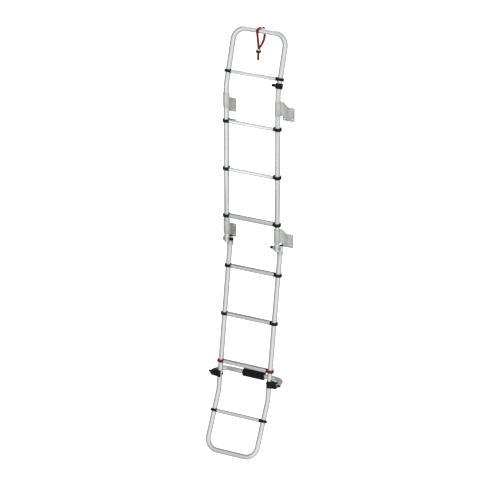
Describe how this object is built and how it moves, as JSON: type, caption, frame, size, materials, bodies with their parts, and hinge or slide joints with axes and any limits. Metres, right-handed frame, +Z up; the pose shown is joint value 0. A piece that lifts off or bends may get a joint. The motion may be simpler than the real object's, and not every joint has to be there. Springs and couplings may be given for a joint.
{
  "type": "folding exterior ladder",
  "caption": "Tall folding tube ladder for the rear wall of a camper: leaning top and foot loops, flat treads, cast wall brackets, hinges and a padded spacer bow.",
  "frame": {"origin": "Centre of the upper left wall bracket's foot, on the face that lies on the wall.", "axes": "+X across the ladder to its right as seen by a climber, +Y into the wall, +Z up."},
  "size_m": [0.4584, 0.4297, 2.5178],
  "materials": {
    "rail_tube": "satin anodised",
    "tread": "satin anodised",
    "black_plastic": "matte",
    "red_plastic": "matte",
    "bracket_casting": "cast, painted grey",
    "hinge_casting": "satin",
    "bolt_steel": "zinc plated",
    "pad_foam": "closed-cell foam",
    "red_webbing": "woven",
    "buckle": "satin"
  },
  "bodies": {
    "upper_section": {"upper_frame": "rail_tube", "tread_1": "tread", "tread_2": "tread", "tread_3": "tread", "tread_4": "tread", "tread_caps_1": "black_plastic", "tread_caps_2": "black_plastic", "tread_caps_3": "black_plastic", "tread_caps_4": "black_plastic", "wall_bracket_upper_left": "bracket_casting", "wall_bracket_upper_right": "bracket_casting", "wall_bracket_lower_left": "bracket_casting", "wall_bracket_lower_right": "bracket_casting", "pivot_bolts": "bolt_steel", "upper_rail_plugs": "black_plastic", "catch_ring": "black_plastic", "safety_strap": "red_webbing", "strap_buckle": "buckle", "strap_lock": "black_plastic"},
    "lower_section": {"lower_frame": "rail_tube", "tread_5": "tread", "tread_6": "tread", "tread_7": "tread", "tread_8": "tread", "tread_caps_5": "black_plastic", "tread_caps_6": "black_plastic", "tread_caps_7": "red_plastic", "tread_caps_8": "black_plastic", "hinge_arm_left": "hinge_casting", "hinge_arm_right": "hinge_casting", "hinge_bolts": "bolt_steel", "lower_rail_plugs": "black_plastic", "spacer_bow": "rail_tube", "bow_pad": "pad_foam", "bow_plugs": "black_plastic", "bow_clamp_left": "black_plastic", "bow_clamp_right": "black_plastic", "clamp_bolts": "black_plastic"},
    "left_hinge_knob": {"hinge_knob_left": "black_plastic"},
    "right_hinge_knob": {"hinge_knob_right": "black_plastic"},
    "catch_turn_knob": {"catch_knob": "black_plastic"}
  },
  "joints": [
    {"name": "section_fold", "type": "hinge", "parent": "upper_section", "child": "lower_section", "pos_m": [0.18, -0.097, -0.784], "axis": [-1, 0, 0], "range_deg": [0, 170]},
    {"name": "left_knob_turn", "type": "hinge", "parent": "upper_section", "child": "left_hinge_knob", "pos_m": [0.0511, -0.097, -0.784], "axis": [1, 0, 0], "continuous": true},
    {"name": "right_knob_turn", "type": "hinge", "parent": "upper_section", "child": "right_hinge_knob", "pos_m": [0.3089, -0.097, -0.784], "axis": [1, 0, 0], "continuous": true},
    {"name": "catch_knob_turn", "type": "hinge", "parent": "upper_section", "child": "catch_turn_knob", "pos_m": [0.3045, -0.084, 0.1917], "axis": [1, 0, 0], "continuous": true}
  ]
}
